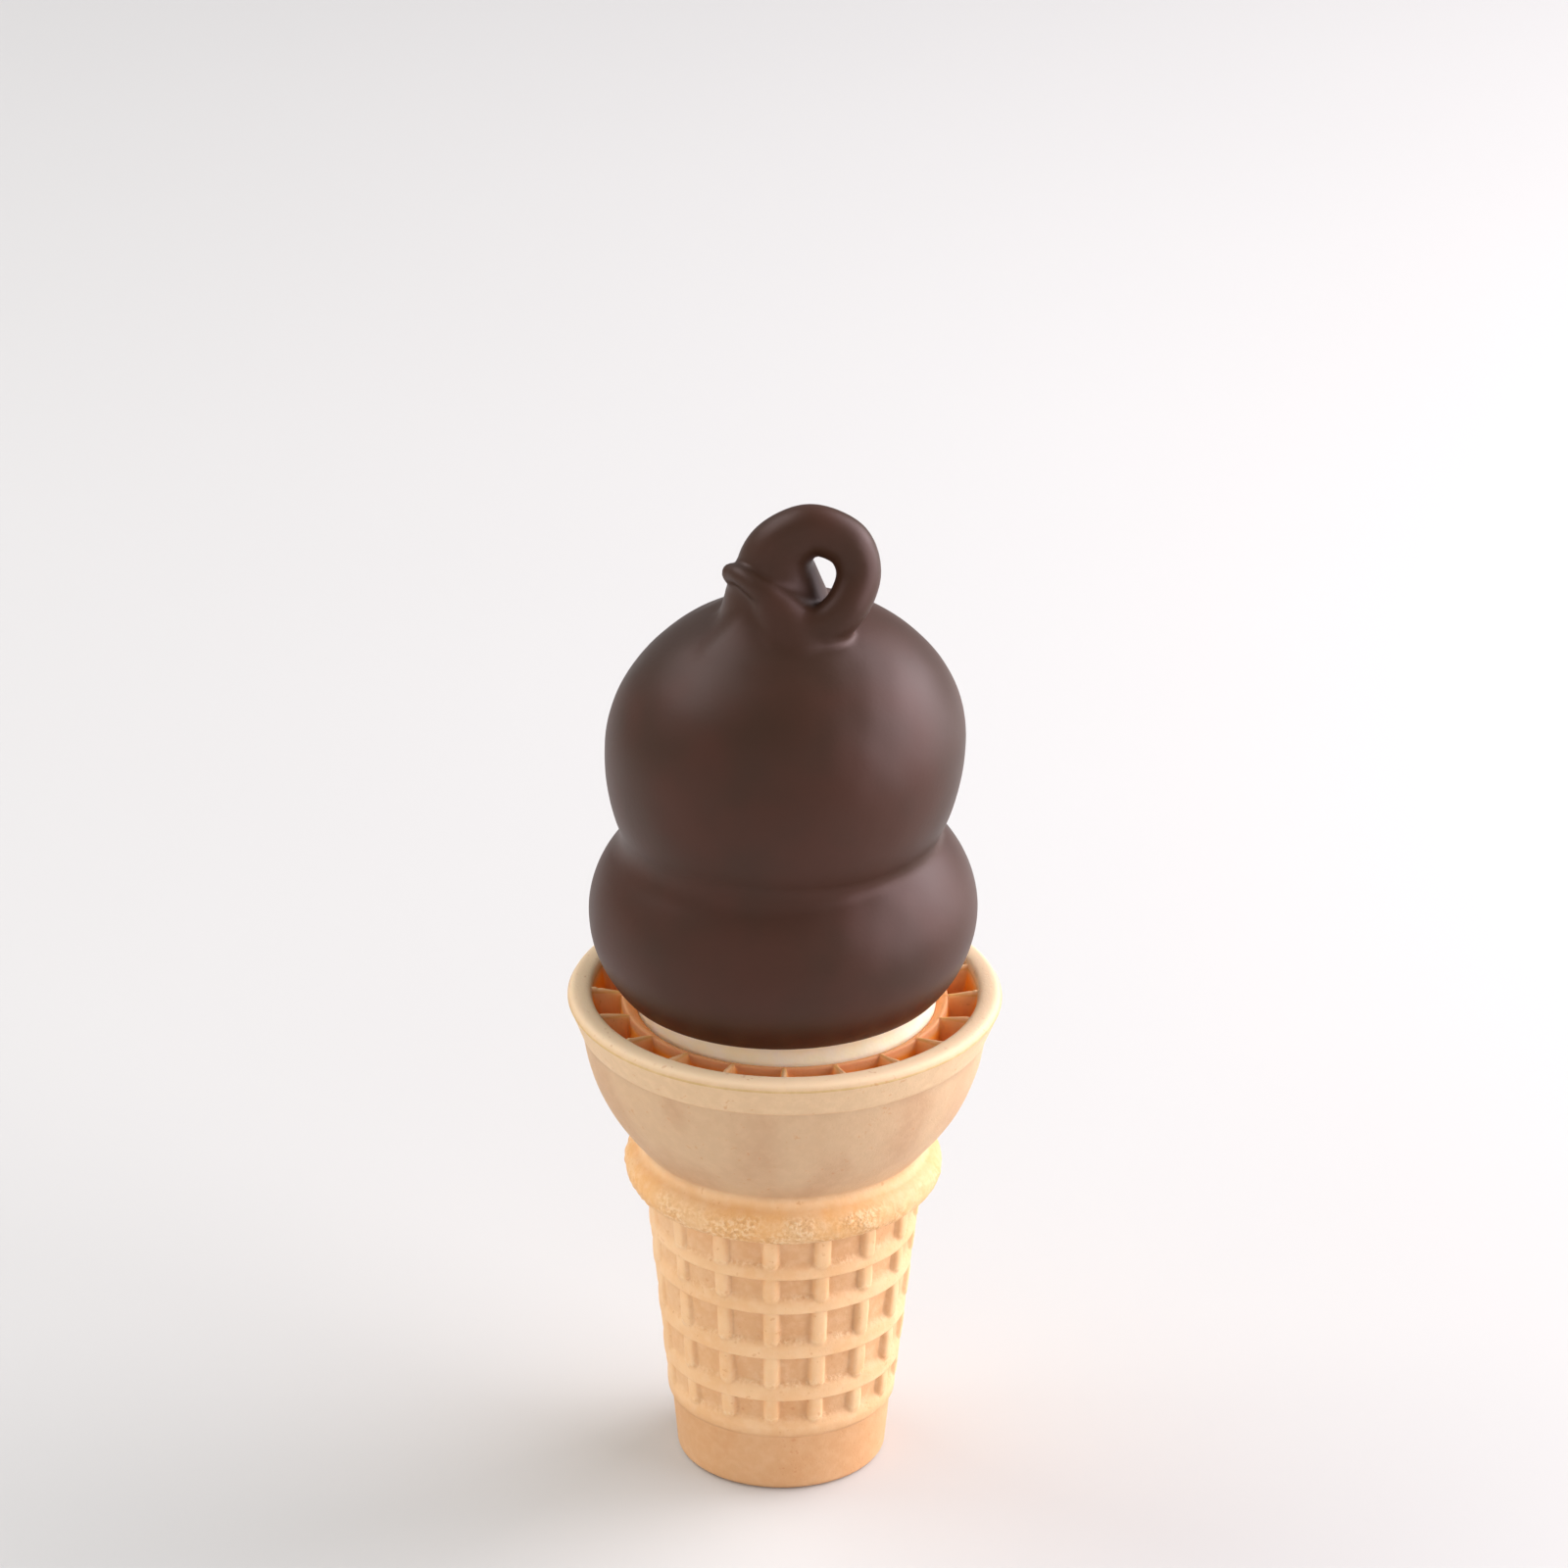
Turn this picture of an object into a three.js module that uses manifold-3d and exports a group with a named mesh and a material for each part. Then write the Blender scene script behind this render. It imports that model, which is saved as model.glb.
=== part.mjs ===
// A dipped soft-serve cone. A moulded, flat-bottomed wafer cup holds a core of vanilla soft serve,
// which stands out of it in two stacked lobes, and a thin chocolate coat covers the core and ends
// in a curled tip. Millimetres, +Z up, origin at the centre of the cup's base. The open loop of the
// curl faces -Y, and an angle is counted from -Y towards +X.
import * as THREE from 'three';
import { mergeVertices } from 'three/addons/utils/BufferGeometryUtils.js';
import Module from 'manifold-3d';

const wasm = await Module();
wasm.setup();

// Foot: a plain tapered band with a rounded lower edge, below a small step
const FOOT_RADIUS = 16.15;
const FOOT_EDGE = 1.1;
const FOOT_TOP_RADIUS = 16.9;
const FOOT_TOP = 9.7;

// Grid zone: a tapered wall with bars up and ribs round, standing proud of sunk cells
const GRID_BOTTOM = 10.8;
const GRID_BOTTOM_RADIUS = 17.6;
const GRID_TOP = 46.2;
const GRID_TOP_RADIUS = 21.3;
const BAR_COUNT = 16;
const FRONT_BAR_ANGLE = -4.9;
const BAR_TOP_HALF_ANGLE = 2.9;
const BAR_FOOT_HALF_ANGLE = 4.2;
const CELL_ROWS = [[13.1, 16.8], [19.5, 24.6], [27.3, 32.9], [35.3, 39.1], [41.2, 45.9]];
const CELL_DEPTH = 1.0;
const CELL_SLOPE = 0.5;
const RIB_DROP = 0.15;

// Bead: a round collar between the grid zone and the bowl
const BEAD_RADIUS = 21.15;
const BEAD_HEIGHT = 49.45;
const BEAD_ROUND = 3.15;
const WAIST_RADIUS = 21.55;
const WAIST_HEIGHT = 53.4;
const JOIN = 1.0;

// Bowl and the band round its rim
const BOWL_TOP_RADIUS = 30.85;
const BOWL_TOP = 72.9;
const BOWL_WAIST_PULL = [2.35, 3.3];
const BOWL_TOP_PULL = [1.4, 11.7];
const BAND_RADIUS = 31.2;
const BAND_BOTTOM = 73.1;
const RIM_RADIUS = 33.0;
const CUP_HEIGHT = 79.0;
const RIM_ROUND = 1.0;
const RIM_INNER_RADIUS = 29.3;
const RIM_INNER_ROUND = 0.8;
const CUP_SEGMENTS = 40;

// Moat inside the rim: pockets between radial ribs, and a thin ring round the ice cream
const MOAT_RIBS = 20;
const MOAT_RIB_WIDTH = 1.2;
const MOAT_RIB_DRAFT = 0.4;
const MOAT_RIB_ENDS = [24.6, 29.1];
const MOAT_TOP = 77.7;
const MOAT_CUT_TOP = 78.3;
const MOAT_FLOOR = 69.0;
const MOAT_OUTER_RADIUS = 28.9;
const MOAT_FLOOR_OUTER_RADIUS = 28.0;
const RING_OUTER_RADIUS = 24.8;
const RING_INNER_RADIUS = 22.5;
const RING_INNER_TOP = 76.4;

// Room for the ice cream inside the cup
const CUP_FLOOR = 2.5;
const HOLLOW_FLOOR_RADIUS = 14.2;
const HOLLOW_GRID_RADIUS = 18.2;
const HOLLOW_WAIST_RADIUS = 18.6;
const HOLLOW_MOAT_RADIUS = 22.1;

// Ice cream: two lobes, both round in plan about an axis a little to the left
const AXIS_SHIFT = -0.55;
const SHOWING_VANILLA = [[22.45, 77.8], [23.45, 80.3]];
const COAT_EDGE_RADIUS = 24.5;
const COAT_LIP_RADIUS = 24.25;
const COAT_EDGE_HEIGHT = 80.5;
const LOWER_LOBE = { height: 92.4, radius: 29.4, below: 21.5, above: 20.9 };
const UPPER_LOBE = { height: 119.7, radius: 27.05, below: 30.0, above: 22.9 };
const CREASE_HEIGHT = 105.0;
const COAT_THICKNESS = 1.4;
const COAT_EDGE_THICKNESS = 0.65;
const COAT_EDGE_FADE = 4.0;
const PLAY = 0.3;
const FIRST_LEVEL = 0.4;
const DOME_SHARE = 1.6;
const CORE_SEGMENTS = 28;
const COAT_SEGMENTS = 40;

// Neck of the curl: radius and height of its outline, which flares out into the upper lobe
const NECK_AXIS = [-1.7, 0.6];
const NECK_OUTLINE = [[12.6, 139.1], [10.2, 141.4], [8.6, 143.2], [7.7, 145.0], [6.6, 148.2], [5.5, 151.2]];
const NECK_CAP = [[3.4, 153.1], [0, 154.2]];
const NECK_BASE = 130;
const NECK_SEGMENTS = 24;

// Curl: a strand that leaves the neck, loops over to the right and crosses in front as a thin tail
const CURL_STRAND = [
  { at: [-2.6, -0.9, 142.6], radius: 5.6 },
  { at: [-3.0, -1.5, 148.9], radius: 5.3 },
  { at: [-1.2, -1.7, 152.8], radius: 4.7 },
  { at: [3.5, -2.0, 155.4], radius: 3.9 },
  { at: [8.6, -2.6, 153.5], radius: 3.6 },
  { at: [10.4, -3.6, 149.2], radius: 3.35 },
  { at: [9.1, -5.0, 144.9], radius: 3.1 },
  { at: [6.1, -6.6, 142.7], radius: 2.8 },
  { at: [2.6, -7.6, 143.9], radius: 2.5 },
  { at: [-0.6, -7.8, 146.3], radius: 2.2 },
  { at: [-3.8, -6.8, 148.4], radius: 1.9 },
  { at: [-6.7, -4.5, 149.4], radius: 1.7 },
  { at: [-8.6, -1.7, 148.6], radius: 1.5 },
];
const CURL_STEPS = 36;
const CURL_SIDES = 12;
const TAIL_STEP = 21;

const radians = THREE.MathUtils.degToRad;

function polar(radius, angle, height) {
  return new THREE.Vector3(radius * Math.sin(angle), -radius * Math.cos(angle), height);
}

// A solid of revolution about Z, from outline points [radius, height] that start and end on the axis
function lathe(outline, segments) {
  const points = outline.map(([radius, height]) => new THREE.Vector2(radius, height));
  return new THREE.LatheGeometry(points, segments).rotateX(Math.PI / 2);
}

// Moves what stands above the cup to the ice cream's own axis, evenly over the gap below the coat
function shifted(geometry) {
  const position = geometry.attributes.position;
  for (let i = 0; i < position.count; i++) {
    const share = THREE.MathUtils.smoothstep(position.getZ(i), RING_INNER_TOP, COAT_EDGE_HEIGHT - PLAY);
    position.setX(i, position.getX(i) + AXIS_SHIFT * share);
  }
  return geometry;
}

// A closed surface through loops of points, all with the same count, each end filled by a fan
function skin(loops) {
  const count = loops[0].length;
  const centre = (loop) => loop.reduce((sum, p) => sum.add(p), new THREE.Vector3()).divideScalar(count);
  const last = loops.length - 1;
  const vertices = [...loops.flat(), centre(loops[0]), centre(loops[last])];
  const bottom = loops.length * count;
  const faces = [];
  for (let i = 0; i < count; i++) {
    const j = (i + 1) % count;
    faces.push([bottom, j, i], [bottom + 1, last * count + i, last * count + j]);
    for (let row = 0; row < last; row++) {
      const low = row * count;
      const high = low + count;
      faces.push([low + i, low + j, high + j], [low + i, high + j, high + i]);
    }
  }
  const geometry = new THREE.BufferGeometry().setFromPoints(vertices);
  geometry.setIndex(faces.flat());
  return geometry;
}

// The same geometry as a solid that can be joined and cut
function solid(geometry) {
  geometry.deleteAttribute('normal');
  geometry.deleteAttribute('uv');
  const merged = mergeVertices(geometry, 1e-4);
  const index = merged.index.array;
  const triVerts = [];
  for (let i = 0; i < index.length; i += 3) {
    const [a, b, c] = index.slice(i, i + 3);
    if (a !== b && b !== c && c !== a) triVerts.push(a, b, c);
  }
  const vertProperties = new Float32Array(merged.attributes.position.array);
  const shape = new wasm.Manifold(new wasm.Mesh({
    numProp: 3, vertProperties, triVerts: new Uint32Array(triVerts),
  }));
  if (shape.volume() <= 0) throw new Error('a surface is inside out');
  return shape;
}

function piece(name, shape, material) {
  const { vertProperties, triVerts } = shape.getMesh();
  const geometry = new THREE.BufferGeometry();
  geometry.setAttribute('position', new THREE.BufferAttribute(new Float32Array(vertProperties), 3));
  geometry.setIndex(Array.from(triVerts));
  geometry.computeVertexNormals();
  const mesh = new THREE.Mesh(geometry, material);
  mesh.name = name;
  return mesh;
}

// Points [radius, height] on an arc of the outline
function arc(centreRadius, centreHeight, round, fromDegrees, toDegrees, steps) {
  const points = [];
  for (let i = 0; i <= steps; i++) {
    const angle = radians(fromDegrees + (toDegrees - fromDegrees) * i / steps);
    points.push([centreRadius + round * Math.cos(angle), centreHeight + round * Math.sin(angle)]);
  }
  return points;
}

// Outer radius of the grid zone's bars, which taper evenly
function gridRadius(height) {
  return THREE.MathUtils.mapLinear(height, GRID_BOTTOM, GRID_TOP, GRID_BOTTOM_RADIUS, GRID_TOP_RADIUS);
}

// One level of the grid zone. Four columns make each bar: foot, top, top, foot.
function gridLevel(height, barRadius, betweenRadius) {
  const loop = [];
  for (let bar = 0; bar < BAR_COUNT; bar++) {
    const middle = FRONT_BAR_ANGLE + bar * 360 / BAR_COUNT;
    loop.push(polar(betweenRadius, radians(middle - BAR_FOOT_HALF_ANGLE), height));
    loop.push(polar(barRadius, radians(middle - BAR_TOP_HALF_ANGLE), height));
    loop.push(polar(barRadius, radians(middle + BAR_TOP_HALF_ANGLE), height));
    loop.push(polar(betweenRadius, radians(middle + BAR_FOOT_HALF_ANGLE), height));
  }
  return loop;
}

function plainLevel([radius, height]) {
  return gridLevel(height, radius, radius);
}

// Foot, step and grid zone, as one closed body that ends inside the bead
function lowerCup() {
  const footEdge = arc(FOOT_RADIUS - FOOT_EDGE, FOOT_EDGE, FOOT_EDGE, -90, 0, 2);
  const step = [[FOOT_TOP_RADIUS, FOOT_TOP], [GRID_BOTTOM_RADIUS, GRID_BOTTOM]];
  const levels = [...footEdge, ...step].map(plainLevel);
  for (const [low, high] of CELL_ROWS) {
    levels.push(gridLevel(low, gridRadius(low), gridRadius(low) - RIB_DROP));
    for (const height of [low + CELL_SLOPE, high - CELL_SLOPE]) {
      levels.push(gridLevel(height, gridRadius(height), gridRadius(height) - CELL_DEPTH));
    }
    levels.push(gridLevel(high, gridRadius(high), gridRadius(high) - RIB_DROP));
  }
  levels.push(plainLevel([GRID_TOP_RADIUS, GRID_TOP]));
  levels.push(plainLevel([BEAD_RADIUS - JOIN, BEAD_HEIGHT - JOIN]));
  return solid(skin(levels));
}

// Bead, bowl, band and rounded rim, solid up to the tops of the moat's ribs
function upperCup() {
  const base = GRID_TOP - JOIN;
  const waist = new THREE.Vector2(WAIST_RADIUS, WAIST_HEIGHT);
  const top = new THREE.Vector2(BOWL_TOP_RADIUS, BOWL_TOP);
  const bowl = new THREE.CubicBezierCurve(
    waist, waist.clone().add(new THREE.Vector2(...BOWL_WAIST_PULL)),
    top.clone().sub(new THREE.Vector2(...BOWL_TOP_PULL)), top,
  ).getPoints(5).map((p) => [p.x, p.y]);
  const outline = [
    [0, base], [GRID_TOP_RADIUS - CELL_DEPTH - JOIN, base],
    ...arc(BEAD_RADIUS, BEAD_HEIGHT, BEAD_ROUND, -86, 66, 5),
    ...bowl,
    [BAND_RADIUS, BAND_BOTTOM],
    ...arc(RIM_RADIUS - RIM_ROUND, CUP_HEIGHT - RIM_ROUND, RIM_ROUND, 0, 90, 2),
    ...arc(RIM_INNER_RADIUS + RIM_INNER_ROUND, CUP_HEIGHT - RIM_INNER_ROUND, RIM_INNER_ROUND, 90, 180, 1),
    [MOAT_RIB_ENDS[1], MOAT_TOP],
    [MOAT_RIB_ENDS[0], MOAT_TOP],
    [RING_INNER_RADIUS, RING_INNER_TOP],
    [0, RING_INNER_TOP],
  ];
  return solid(lathe(outline, CUP_SEGMENTS));
}

// One pocket of the moat, between two ribs, narrower at its floor
function moatPocket(number) {
  const middle = radians((number + 0.5) * 360 / MOAT_RIBS);
  const outline = (height, outer, ribWidth) => {
    const half = (radius) => Math.PI / MOAT_RIBS - Math.asin(ribWidth / 2 / radius);
    const steps = [-1, -1 / 3, 1 / 3, 1];
    return [
      ...steps.map((s) => polar(outer, middle + s * half(outer), height)),
      ...steps.reverse().map((s) => polar(RING_OUTER_RADIUS, middle + s * half(RING_OUTER_RADIUS), height)),
    ];
  };
  return solid(skin([
    outline(MOAT_FLOOR, MOAT_FLOOR_OUTER_RADIUS, MOAT_RIB_WIDTH + MOAT_RIB_DRAFT),
    outline(MOAT_CUT_TOP, MOAT_OUTER_RADIUS, MOAT_RIB_WIDTH),
  ]));
}

// Outline of the space inside the cup, from the floor's edge up to the ring
function hollowOutline() {
  return [
    [HOLLOW_FLOOR_RADIUS, CUP_FLOOR],
    [HOLLOW_GRID_RADIUS, GRID_TOP],
    [HOLLOW_WAIST_RADIUS, WAIST_HEIGHT],
    [HOLLOW_MOAT_RADIUS, MOAT_FLOOR - JOIN],
    [RING_INNER_RADIUS, RING_INNER_TOP],
  ];
}

function makeCup() {
  const hollow = solid(lathe([
    [0, CUP_FLOOR], ...hollowOutline(), [RING_INNER_RADIUS, CUP_HEIGHT], [0, CUP_HEIGHT],
  ], CORE_SEGMENTS));
  let cup = lowerCup().add(upperCup()).subtract(hollow);
  for (let number = 0; number < MOAT_RIBS; number++) cup = cup.subtract(moatPocket(number));
  return cup;
}

function lobeRadius(lobe, height) {
  const reach = height < lobe.height ? lobe.below : lobe.above;
  return lobe.radius * Math.sqrt(Math.max(0, 1 - ((height - lobe.height) / reach) ** 2));
}

// Heights at which the lobes are drawn, close together where the outline turns fast
function lobeHeights(perLobe) {
  const heights = [];
  const span = (from, to, steps) => {
    for (let i = 0; i < steps; i++) heights.push(from + (to - from) * i / steps);
  };
  span(COAT_EDGE_HEIGHT + FIRST_LEVEL, LOWER_LOBE.height, perLobe);
  span(LOWER_LOBE.height, CREASE_HEIGHT, perLobe);
  span(CREASE_HEIGHT, UPPER_LOBE.height, perLobe);
  const dome = Math.round(DOME_SHARE * perLobe);
  for (let i = 0; i < dome; i++) {
    heights.push(UPPER_LOBE.height + UPPER_LOBE.above * Math.sin(Math.PI / 2 * i / dome));
  }
  return heights;
}

// Outer outline of the coat over both lobes, as [radius, height]
function lobeOutline(perLobe) {
  return lobeHeights(perLobe).map((height) => {
    const lobe = height < CREASE_HEIGHT ? LOWER_LOBE : UPPER_LOBE;
    return [lobeRadius(lobe, height), height];
  });
}

// The core's outline inside the coat: the coat's outline moved in by its thickness and a little play
function coreOutline(play) {
  return lobeOutline(3).map(([radius, height]) => {
    const fade = Math.min(1, (height - COAT_EDGE_HEIGHT) / COAT_EDGE_FADE);
    const skinDepth = COAT_EDGE_THICKNESS + (COAT_THICKNESS - COAT_EDGE_THICKNESS) * fade;
    const level = height > UPPER_LOBE.height ? 1 - radius / UPPER_LOBE.radius : 0;
    const inset = skinDepth + PLAY - play;
    return [radius - inset * (1 - level), height - inset * level];
  });
}

// Vanilla core: fills the cup, shows above the ring, and runs up inside the coat
function makeCore() {
  const top = UPPER_LOBE.height + UPPER_LOBE.above - COAT_THICKNESS - PLAY;
  const floor = CUP_FLOOR + PLAY;
  const inCup = hollowOutline().map(([radius, height]) => [radius - PLAY, Math.max(height, floor)]);
  const outline = [[0, floor], ...inCup, ...SHOWING_VANILLA, ...coreOutline(0), [0, top]];
  return solid(shifted(lathe(outline, CORE_SEGMENTS)));
}

// The strand of the curl: round sections along a smooth path, with a rounded tip. The loop and the
// tail are two bodies that share one section, because the tail passes through the loop's start.
function curlStrand() {
  const path = new THREE.CatmullRomCurve3(CURL_STRAND.map(({ at }) => new THREE.Vector3(...at)));
  const thickness = new THREE.SplineCurve(CURL_STRAND.map(({ radius }, i) => new THREE.Vector2(i, radius)));
  const side = new THREE.Vector3(0, 1, 0);
  const loops = [];
  const addSection = (centre, tangent, radius) => {
    side.addScaledVector(tangent, -side.dot(tangent)).normalize();
    const up = new THREE.Vector3().crossVectors(tangent, side);
    const loop = [];
    for (let i = 0; i < CURL_SIDES; i++) {
      const turn = 2 * Math.PI * i / CURL_SIDES;
      const out = side.clone().multiplyScalar(Math.cos(turn)).addScaledVector(up, Math.sin(turn));
      loop.push(centre.clone().addScaledVector(out, radius));
    }
    loops.push(loop);
  };
  for (let i = 0; i <= CURL_STEPS; i++) {
    const t = i / CURL_STEPS;
    addSection(path.getPoint(t), path.getTangent(t), thickness.getPoint(t).y);
  }
  const end = path.getPoint(1);
  const heading = path.getTangent(1);
  const tip = CURL_STRAND[CURL_STRAND.length - 1].radius;
  for (const bend of [30, 60, 80].map(radians)) {
    addSection(end.clone().addScaledVector(heading, tip * Math.sin(bend)), heading, tip * Math.cos(bend));
  }
  return solid(skin(loops.slice(0, TAIL_STEP + 1))).add(solid(skin(loops.slice(TAIL_STEP - 1))));
}

// The neck flares into the upper lobe and ends inside the strand
function neck() {
  const marks = NECK_OUTLINE.map(([radius, height]) => new THREE.Vector2(radius, height));
  const flare = new THREE.SplineCurve(marks).getPoints(8).map((p) => [p.x, p.y]);
  const outline = [[0, NECK_BASE], [flare[0][0], NECK_BASE], ...flare, ...NECK_CAP];
  return solid(lathe(outline, NECK_SEGMENTS).translate(...NECK_AXIS, 0));
}

// Chocolate coat: both lobes, the neck and the curl, hollowed over the core and open at its lower edge
function makeCoat() {
  const top = UPPER_LOBE.height + UPPER_LOBE.above;
  const outer = [
    [0, COAT_EDGE_HEIGHT], [COAT_LIP_RADIUS, COAT_EDGE_HEIGHT], ...lobeOutline(5), [0, top],
  ];
  const opening = COAT_EDGE_RADIUS - COAT_EDGE_THICKNESS;
  const inner = [
    [0, COAT_EDGE_HEIGHT - JOIN], [opening, COAT_EDGE_HEIGHT - JOIN], [opening, COAT_EDGE_HEIGHT + PLAY],
    ...coreOutline(PLAY), [0, top - COAT_THICKNESS],
  ];
  const body = solid(shifted(lathe(outer, COAT_SEGMENTS)));
  const room = solid(shifted(lathe(inner, CORE_SEGMENTS)));
  return body.add(neck()).add(curlStrand()).subtract(room);
}

const wafer = new THREE.MeshStandardMaterial({ color: 0xe2b585, roughness: 0.85, metalness: 0 });
const vanilla = new THREE.MeshStandardMaterial({ color: 0xf0dfc3, roughness: 0.6, metalness: 0 });
const chocolate = new THREE.MeshStandardMaterial({ color: 0x4a352c, roughness: 0.4, metalness: 0 });

const group = new THREE.Group();
group.add(piece('cone', makeCup(), wafer));
group.add(piece('ice_cream', makeCore(), vanilla));
group.add(piece('chocolate_coat', makeCoat(), chocolate));

export default group;
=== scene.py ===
# %% [markdown]
# # A dipped soft-serve cone
# A moulded wafer cup is filled with vanilla soft serve in two round lobes, and dipped head first in
# chocolate, which sets as a thin satin coat with a curled tip. The CAD model fixes every main size.
# This lesson builds the surfaces that are seen round that model, and then their finishes and light.

import bpy
import numpy as np
from mathutils import Matrix, Vector


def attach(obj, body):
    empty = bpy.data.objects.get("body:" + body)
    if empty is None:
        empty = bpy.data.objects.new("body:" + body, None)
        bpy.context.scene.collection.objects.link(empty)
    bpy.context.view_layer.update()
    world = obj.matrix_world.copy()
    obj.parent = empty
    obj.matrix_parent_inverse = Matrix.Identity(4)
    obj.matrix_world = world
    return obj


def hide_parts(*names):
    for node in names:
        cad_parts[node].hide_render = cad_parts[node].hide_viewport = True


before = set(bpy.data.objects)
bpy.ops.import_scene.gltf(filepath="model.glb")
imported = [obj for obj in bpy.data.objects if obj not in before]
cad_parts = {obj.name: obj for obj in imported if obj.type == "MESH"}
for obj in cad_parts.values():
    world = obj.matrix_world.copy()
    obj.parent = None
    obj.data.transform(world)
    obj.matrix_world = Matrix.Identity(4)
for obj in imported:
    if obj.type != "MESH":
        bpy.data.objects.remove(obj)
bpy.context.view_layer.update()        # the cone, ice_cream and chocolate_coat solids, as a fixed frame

MM = 0.001


# %% [markdown]
# ## Surfaces as grids of numbers
# Each piece here is round about an upright axis, so its skin can be a grid: a row of the grid is one
# ring, and a column runs over the piece from its lower pole to its upper one. A sculpted or a
# subdivided mesh could do it as well, but a grid keeps every measured size, and numpy works out all
# of its points at once. Everything is worked out in millimetres and put into the mesh in metres.

# %% Helpers for shapes


def smooth_share(value, low, high):
    """0 below low and 1 above high, and 3t^2 - 2t^3 of the share t of the way in between."""
    t = np.clip((value - low) / (high - low), 0, 1)
    return t * t * (3 - 2 * t)


def soft_max(a, b, width):
    """The larger of a and b, plus h^2 * width / 4, where h falls from 1 to 0 as they part by width."""
    h = np.maximum(width - np.abs(a - b), 0) / width
    return np.maximum(a, b) + h * h * width / 4


def soft_min(a, b, width):
    """The smaller of a and b, rounded off in the same way."""
    return -soft_max(-a, -b, width)


def lumps(points, wavelength, seed, waves=24):
    """Uneven height between about -1 and 1: a sum of sine waves in random directions, each with a
    wavelength between 0.7 and 1.4 times the given one, divided by the root of half their number."""
    draw = np.random.default_rng(seed)
    direction = draw.normal(size=(waves, 3))
    direction /= np.linalg.norm(direction, axis=1)[:, None]
    pace = 2 * np.pi / (wavelength * draw.uniform(0.7, 1.4, waves))
    start = draw.uniform(0, 2 * np.pi, waves)
    total = np.zeros(points.shape[:-1])
    for way, speed, phase in zip(direction, pace, start):
        total += np.sin(points @ way * speed + phase)
    return total / np.sqrt(waves / 2) / 2


def round_points(radius, angle, height, shift=0.0):
    """Points of a ring grid: x = r sin a + shift, y = -r cos a, z = height, with a = 0 at the front."""
    turn = np.radians(angle)
    return np.stack(np.broadcast_arrays(
        radius * np.sin(turn) + shift, -radius * np.cos(turn), height), axis=-1)


def ring_faces(rows, columns):
    """Corner numbers for a closed skin of rings with one pole point before and one after them: four
    corners between neighbouring rings, and a fan of triangles at each pole."""
    ring, column = np.mgrid[0:rows - 1, 0:columns]
    after = (column + 1) % columns
    low, high = 1 + ring * columns, 1 + (ring + 1) * columns
    quads = np.stack([low + column, low + after, high + after, high + column], axis=-1).reshape(-1, 4)
    j = np.arange(columns)
    k = (j + 1) % columns
    last = 1 + (rows - 1) * columns
    below = np.stack([np.zeros(columns, int), 1 + k, 1 + j], axis=-1)
    above = np.stack([np.full(columns, 1 + rows * columns), last + j, last + k], axis=-1)
    return quads, np.concatenate([below, above])


def ring_corners(points):
    """The grid's points as one list: the lower pole once, every ring between, the upper pole once."""
    return np.concatenate([points[:1, 0], points[1:-1].reshape(-1, 3), points[-1:, 0]])


def make_mesh(name, corners, quads, triangles):
    """A mesh object from points in millimetres and arrays of corner numbers, shaded smooth."""
    mesh = bpy.data.meshes.new(name)
    index = np.concatenate([quads.ravel(), triangles.ravel()])
    starts = np.concatenate([4 * np.arange(len(quads)), 4 * len(quads) + 3 * np.arange(len(triangles))])
    mesh.vertices.add(len(corners))
    mesh.vertices.foreach_set("co", (corners * MM).astype(np.float32).ravel())
    mesh.loops.add(len(index))
    mesh.loops.foreach_set("vertex_index", index.astype(np.int32))
    mesh.polygons.add(len(starts))
    mesh.polygons.foreach_set("loop_start", starts.astype(np.int32))
    mesh.update(calc_edges=True)
    mesh.validate()
    mesh.shade_smooth()
    piece = bpy.data.objects.new(name, mesh)
    bpy.context.scene.collection.objects.link(piece)
    return piece


def ring_piece(name, points):
    """A closed piece from a ring grid whose first and last rows are poles."""
    quads, triangles = ring_faces(points.shape[0] - 2, points.shape[1])
    return make_mesh(name, ring_corners(points), quads, triangles)


def report_piece(piece):
    mesh = piece.data
    mesh.calc_loop_triangles()
    print(f"{piece.name}: {len(mesh.vertices)} points, {len(mesh.loop_triangles)} triangles")


# %% [markdown]
# ## The wafer cup: columns and rows
# A thin batter baked in a metal mould makes the cup. It has sixteen upright bars on its lower wall
# and twenty thin ribs in the moat under its rim, so 400 columns give each bar 25 and each rib 20.
# Columns are drawn together where a bar or rib turns down, which keeps those edges crisp without a
# finer grid everywhere. Between the two zones the columns slide from one spacing to the other.

# %% Columns round the cup
COLUMNS = 400
BAR_COUNT = 16
FRONT_BAR_ANGLE = -4.9
MOAT_RIBS = 20
FIRST_RIB_COLUMN = 5
RIB_COLUMN_OFFSETS = [0.0, 0.16, 0.3, 0.42, 0.8]   # mm from the middle of a moat rib

column = np.arange(COLUMNS)
bar_step = 360 / BAR_COUNT
rib_step = 360 / MOAT_RIBS
columns_per_bar = COLUMNS // BAR_COUNT
columns_per_rib = COLUMNS // MOAT_RIBS
bar_columns = (FRONT_BAR_ANGLE + bar_step * (column // columns_per_bar)
               + np.interp((column % columns_per_bar) / columns_per_bar,
                           [0, 0.10, 0.28, 0.5, 0.72, 0.90, 1],
                           [0, 1.8, 4.6, 11.25, 17.9, 20.7, 22.5]))


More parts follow.
